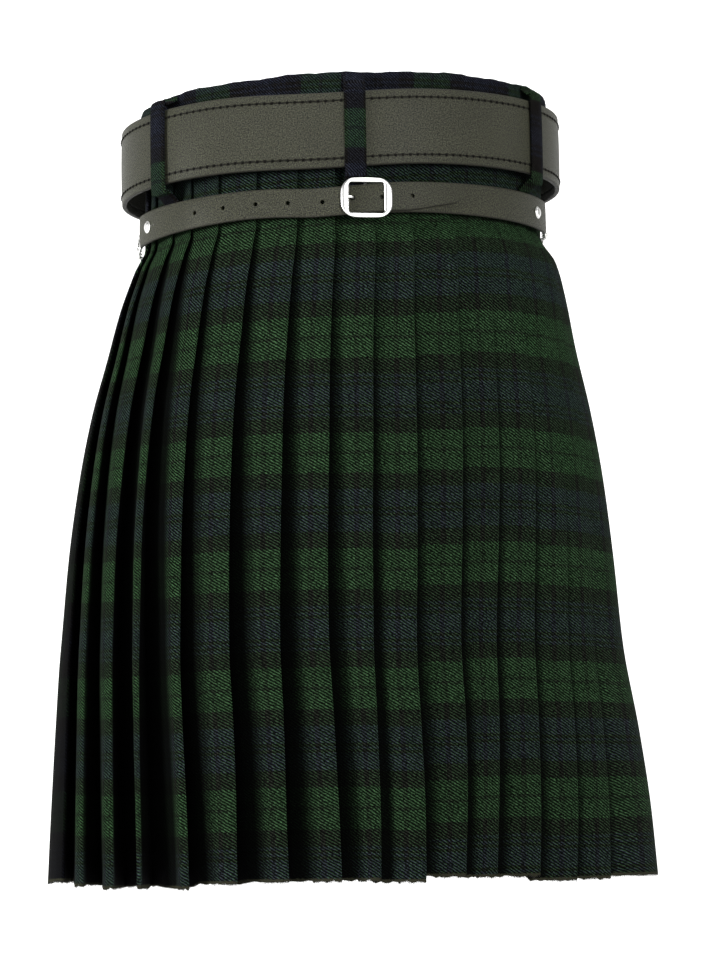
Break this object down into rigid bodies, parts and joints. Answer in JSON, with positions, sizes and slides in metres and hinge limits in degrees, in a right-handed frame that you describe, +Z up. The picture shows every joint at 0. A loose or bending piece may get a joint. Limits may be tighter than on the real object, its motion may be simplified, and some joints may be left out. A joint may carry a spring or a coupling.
{
  "type": "scottish kilt with its belt",
  "caption": "Knife-pleated tartan kilt in its worn, hollow shape, with a wide leather belt in cloth loops and a narrow buckled strap on a chain.",
  "frame": {"origin": "middle of the waist opening, level with the kilt's top edge, where the wearer's waist holds it", "axes": "+Z up, out of the waist opening; -Y is the pleated back; +Y is the way the wearer faces; +X is the wearer's right"},
  "size_m": [0.4693, 0.3384, 0.6196],
  "materials": {
    "tartan": "dark green, navy and black wool twill, matt",
    "belt_leather": "black smooth leather with a soft sheen and dark stitching",
    "strap_leather": "black grained leather with a soft sheen",
    "silver": "bright plated metal"
  },
  "bodies": {
    "root": {"over_apron": "tartan", "under_apron": "tartan", "pleats_left": "tartan", "pleats_right": "tartan", "waistband": "tartan", "belt_loop_left": "tartan", "belt_loop_centre": "tartan", "belt_loop_right": "tartan", "wide_belt": "belt_leather", "belt_plate": "silver", "strap_left": "strap_leather", "strap_right": "strap_leather", "strap_buckle": "silver", "strap_prong": "silver", "rivet_left": "silver", "rivet_right": "silver", "ring_left": "silver", "ring_right": "silver", "chain_left": "silver", "chain_right": "silver", "chain_clasp": "silver", "hip_strap": "strap_leather", "hip_buckle": "silver"}
  },
  "joints": []
}
